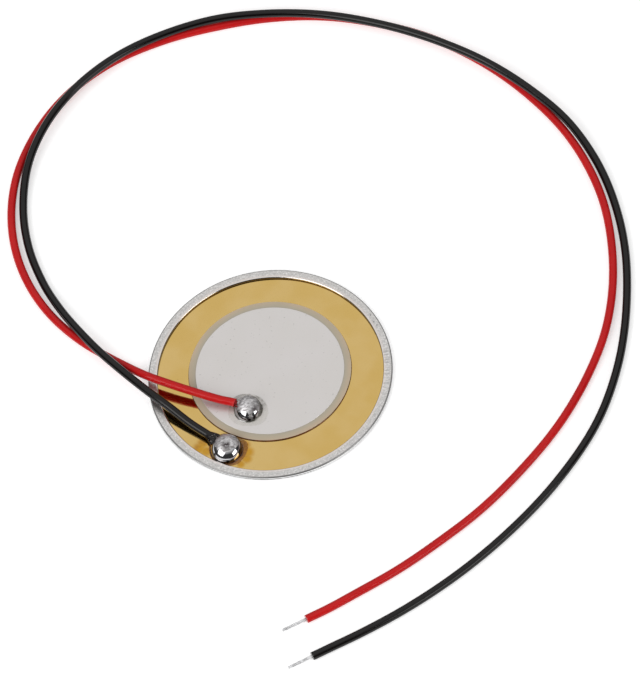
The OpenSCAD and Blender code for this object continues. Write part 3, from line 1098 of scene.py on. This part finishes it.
@dataclass
class StrandEnd:
    """The bare end of a lead: strands laid round a middle one and dipped in tin."""

    node: str
    start: Vector
    heading: Vector
    length: float = 4.0 * MM
    strand: float = 0.17 * MM
    outer_strands: int = 6
    turns: float = 0.5

    def nodes(self, tin: bpy.types.Material) -> bpy.types.NodeTree:
        """Builds the tree that lays the strands along +Z.

        Args:
            tin: The finish that the tree sets at its end.

        Returns:
            The node group, with the sizes as its inputs.
        """
        tree = bpy.data.node_groups.new("laid_strands", "GeometryNodeTree")
        for name, kind in (("Length", "NodeSocketFloat"), ("Strand Radius", "NodeSocketFloat"),
                           ("Lay Radius", "NodeSocketFloat"), ("Turns", "NodeSocketFloat"),
                           ("Strands", "NodeSocketInt")):
            tree.interface.new_socket(name, in_out="INPUT", socket_type=kind)
        tree.interface.new_socket("Geometry", in_out="OUTPUT", socket_type="NodeSocketGeometry")
        sizes = add_node(tree, "NodeGroupInput").outputs
        helix = add_node(tree, "GeometryNodeCurveSpiral",
                         {"Resolution": 48, "Rotations": sizes["Turns"],
                          "Start Radius": sizes["Lay Radius"], "End Radius": sizes["Lay Radius"],
                          "Height": sizes["Length"]})
        section = add_node(tree, "GeometryNodeCurvePrimitiveCircle",
                           {"Resolution": 10, "Radius": sizes["Strand Radius"]})
        outer = add_node(tree, "GeometryNodeCurveToMesh",
                         {"Curve": helix.outputs[0], "Profile Curve": section.outputs[0],
                          "Fill Caps": True})
        axis = add_node(tree, "GeometryNodeCurvePrimitiveLine")
        top = add_node(tree, "ShaderNodeCombineXYZ", {"Z": sizes["Length"]})
        tree.links.new(top.outputs[0], axis.inputs["End"])
        core = add_node(tree, "GeometryNodeCurvePrimitiveCircle",
                        {"Resolution": 18, "Radius": sizes["Lay Radius"]})
        middle = add_node(tree, "GeometryNodeCurveToMesh",
                          {"Curve": axis.outputs[0], "Profile Curve": core.outputs[0],
                           "Fill Caps": True})
        spots = add_node(tree, "GeometryNodeMeshLine",
                         {"Count": sizes["Strands"], "Offset": (0.0, 0.0, 0.0)})
        number = add_node(tree, "GeometryNodeInputIndex")
        share = add_node(tree, "ShaderNodeMath", {0: 2 * math.pi, 1: sizes["Strands"]},
                         operation="DIVIDE")
        angle = add_node(tree, "ShaderNodeMath", {0: number.outputs[0], 1: share.outputs[0]},
                         operation="MULTIPLY")
        turn = add_node(tree, "ShaderNodeCombineXYZ", {"Z": angle.outputs[0]})
        laid = add_node(tree, "GeometryNodeInstanceOnPoints",
                        {"Points": spots.outputs[0], "Instance": outer.outputs[0],
                         "Rotation": turn.outputs[0]})
        both = add_node(tree, "GeometryNodeJoinGeometry", {0: laid.outputs[0]})
        tree.links.new(middle.outputs[0], both.inputs[0])
        real = add_node(tree, "GeometryNodeRealizeInstances", {0: both.outputs[0]})
        smooth = add_node(tree, "GeometryNodeSetShadeSmooth", {0: real.outputs[0]})
        dressed = add_node(tree, "GeometryNodeSetMaterial",
                           {0: smooth.outputs[0], "Material": tin})
        add_node(tree, "NodeGroupOutput", {0: dressed.outputs[0]})
        return tree

    def build(self) -> bpy.types.Object:
        """Runs the tree, lays the result along the lead's end and rides it.

        Returns:
            The bare end, a plain mesh.
        """
        tin = DippedTin("dipped_tin", "#F0F0F1", 0.42, 1.0).build()
        tree = self.nodes(tin)
        holder = mesh_object("holder", [], [], [])
        modifier = holder.modifiers.new("strands", "NODES")
        modifier.node_group = tree
        values = {"Length": self.length, "Strand Radius": self.strand / 2,
                  "Lay Radius": 0.98 * self.strand, "Turns": self.turns,
                  "Strands": self.outer_strands}
        for item in tree.interface.items_tree:
            if item.in_out == "INPUT":
                modifier[item.identifier] = values[item.name]
        graph = bpy.context.evaluated_depsgraph_get()
        mesh = bpy.data.meshes.new_from_object(holder.evaluated_get(graph))
        bpy.data.objects.remove(holder)
        side = Vector((0, 0, 1)).cross(self.heading).normalized()
        turn = Matrix((side, self.heading.cross(side), self.heading)).transposed().to_4x4()
        mesh.transform(Matrix.Translation(self.start) @ turn)
        tip = bpy.data.objects.new(self.node.replace("_lead_tip", "_strands"), mesh)
        bpy.context.scene.collection.objects.link(tip)
        return place(tip, "tinned_strand", self.node)


# Routes as in the CAD source, in metres: x, y, then how many lead thicknesses the lead is lifted.
RED_ROUTE = (
    (-0.008, -0.004, 0.8), (-0.012, -0.002, 1.1), (-0.0155, 0.0, 1.25), (-0.0185, 0.002, 1.2),
    (-0.022, 0.0055, 0.4), (-0.024, 0.0075, 0.1), (-0.028, 0.0115, 0), (-0.032, 0.017, 0),
    (-0.0345, 0.0225, 0), (-0.036, 0.029, 0), (-0.036, 0.037, 0), (-0.0345, 0.0435, 0),
    (-0.031, 0.0505, 0), (-0.0255, 0.057, 0), (-0.018, 0.062, 0), (-0.0085, 0.065, 0),
    (0.0005, 0.066, 0), (0.008, 0.066, 0), (0.0175, 0.0645, 0), (0.0255, 0.0615, 0),
    (0.0335, 0.057, 0), (0.041, 0.0505, 0), (0.047, 0.043, 0), (0.0515, 0.035, 0),
    (0.054, 0.0275, 0), (0.055, 0.022, 0), (0.055, 0.012, 0), (0.054, 0.0055, 0),
    (0.0515, -0.0025, 0), (0.0475, -0.01, 0), (0.042, -0.0175, 0), (0.035, -0.0245, 0),
    (0.0275, -0.0305, 0), (0.021, -0.0345, 0), (0.0145, -0.038, 0), (0.0075, -0.041, 0),
    (0.0025, -0.043, 0), (-0.0005, -0.044, 0))
BLACK_ROUTE = (
    (-0.0134, -0.0069, 0.6), (-0.016, -0.004, 1.05), (-0.019, -0.0005, 1.15),
    (-0.0225, 0.004, 1.15), (-0.026, 0.009, 1.05), (-0.0275, 0.0115, 1), (-0.0305, 0.0175, 0.5),
    (-0.0325, 0.023, 0), (-0.034, 0.03, 0), (-0.034, 0.038, 0), (-0.032, 0.046, 0.5),
    (-0.0285, 0.052, 0.95), (-0.0235, 0.0575, 1), (-0.016, 0.0625, 1), (-0.007, 0.0655, 1),
    (0.0005, 0.0665, 1), (0.008, 0.066, 1), (0.017, 0.064, 1), (0.0255, 0.0605, 1),
    (0.034, 0.0555, 1), (0.041, 0.05, 1), (0.047, 0.0435, 1), (0.052, 0.0365, 0.7),
    (0.055, 0.0295, 0.25), (0.057, 0.018, 0), (0.057, 0.012, 0), (0.056, 0.004, 0),
    (0.052, -0.01, 0), (0.0485, -0.017, 0), (0.04, -0.0275, 0), (0.032, -0.0345, 0),
    (0.024, -0.04, 0), (0.0145, -0.045, 0), (0.007, -0.048, 0), (0.0025, -0.0495, 0),
    (-0.0005, -0.0505, 0))


def red_solder(joint: SolderJoint) -> Finish:
    """Returns the finish of the bead on the silver."""
    # Besides the crown and notches: painted shade as a dark crown spot, a grey foot colour and two dark
    # spots low in front.
    return SetSolder("red_solder", "#C6C6C9", 0.05, 1.0, joint.at(0.5, -0.2, 1.35), 2.2,
                     ((joint.at(-0.95, -1.65, 1.0), 0.95), (joint.at(1.05, -1.6, 0.95), 0.6)),
                     joint.at(1.1, -1.1, 1.5),
                     joint.at(0, 0, 0), "#66635A",
                     (joint.at(-0.1, -2.05, 0.35), joint.at(0.75, -1.9, 0.5)))


def black_solder(joint: SolderJoint) -> Finish:
    """Returns the finish of the bead on the brass."""
    # Besides the crown and notches: painted shade as a dark crown spot, a brown foot colour for the
    # shaded brass it reflects, and dark spots low in front and on the left.
    return SetSolder("black_solder", "#C6C6C9", 0.05, 1.0, joint.at(0.2, 0.4, 1.8), 1.95,
                     ((joint.at(-1.05, -1.2, 1.75), 0.5), (joint.at(1.0, -1.3, 1.4), 0.6)),
                     joint.at(0.06, -0.3, 2.12),
                     joint.at(0, 0, 0), "#5E4430",
                     (joint.at(-0.1, -2.4, 0.5), joint.at(-1.95, -1.1, 1.1)))


def red_flux(joint: SolderJoint) -> Finish:
    """Returns the finish of the flux on the silver: clear and thin."""
    return FluxResidue("clear_flux", "#7C7967", 0.15, 0.0, tuple(joint.pad), 2.1, 2.4,
                       0.28, 0.07, "#DAD6BC")


def black_flux(joint: SolderJoint) -> Finish:
    """Returns the finish of the flux on the brass: burnt brown by a hotter iron, with a light outer
    ring that is thinner film plus a painted highlight on its rim.
    """
    # Painted highlight: the light far colour also stands for the shine on the film's rim.
    return FluxResidue("burnt_flux", "#4A2A12", 0.12, 0.0, tuple(joint.pad), 2.4, 2.75,
                       0.8, 0.42, "#BE7A38")


def main() -> None:
    """Builds every piece in order."""
    logging.basicConfig(level=logging.INFO, format="%(name)s: %(message)s")
    Studio().build()
    red = SolderJoint("red_solder_joint", 2.15 * MM, 1.9 * MM, 2.35, 1.4,
                      (0.12, 0.22, 0.0), 149, 2.15 * MM, 0.25 * MM,
                      red_solder, red_flux, (2.98, 2.79, 2.82, 2.96, 3.22, 2.97, 3.14, 3.08,
                                             2.9, 2.85, 3.26, 3.2),
                      (-0.73, -1.4, 1.5), 0.1 * MM, 0.7 * MM, 3.1)
    black = SolderJoint("black_solder_joint", 2.4675 * MM, 2.13 * MM, 2.3, 2.1,
                        (0.1, 0.1, 0.0), 130, 2.25 * MM, 0.1 * MM, black_solder, black_flux,
                        (3.3, 3.32, 3.0, 2.68, 2.62, 2.79, 3.05, 2.99, 2.94, 2.88, 2.82, 2.74,
                         2.63, 2.65, 2.66, 2.66, 2.63, 2.72, 2.83, 2.97, 3.06, 3.01, 3.04, 3.13),
                        (0.0, -1.2, 1.9), 0.03 * MM, 0.5 * MM, 7.7)
    Lead("red_lead", red, RED_ROUTE,
         ExtrudedVinyl("red_vinyl", "#BE1619", 0.15, 0.0, "#C81D1E", 0.17), CutEnd.SQUARE).build()
    Lead("black_lead", black, BLACK_ROUTE,
         ExtrudedVinyl("black_vinyl", "#070404", 0.15, 0.0, "#0C0808", 0.3, 1.9), CutEnd.MELTED).build()
    CarrierRing().build()
    PiezoStack().build()
    red.build()
    black.build()


if __name__ == "__main__":
    main()
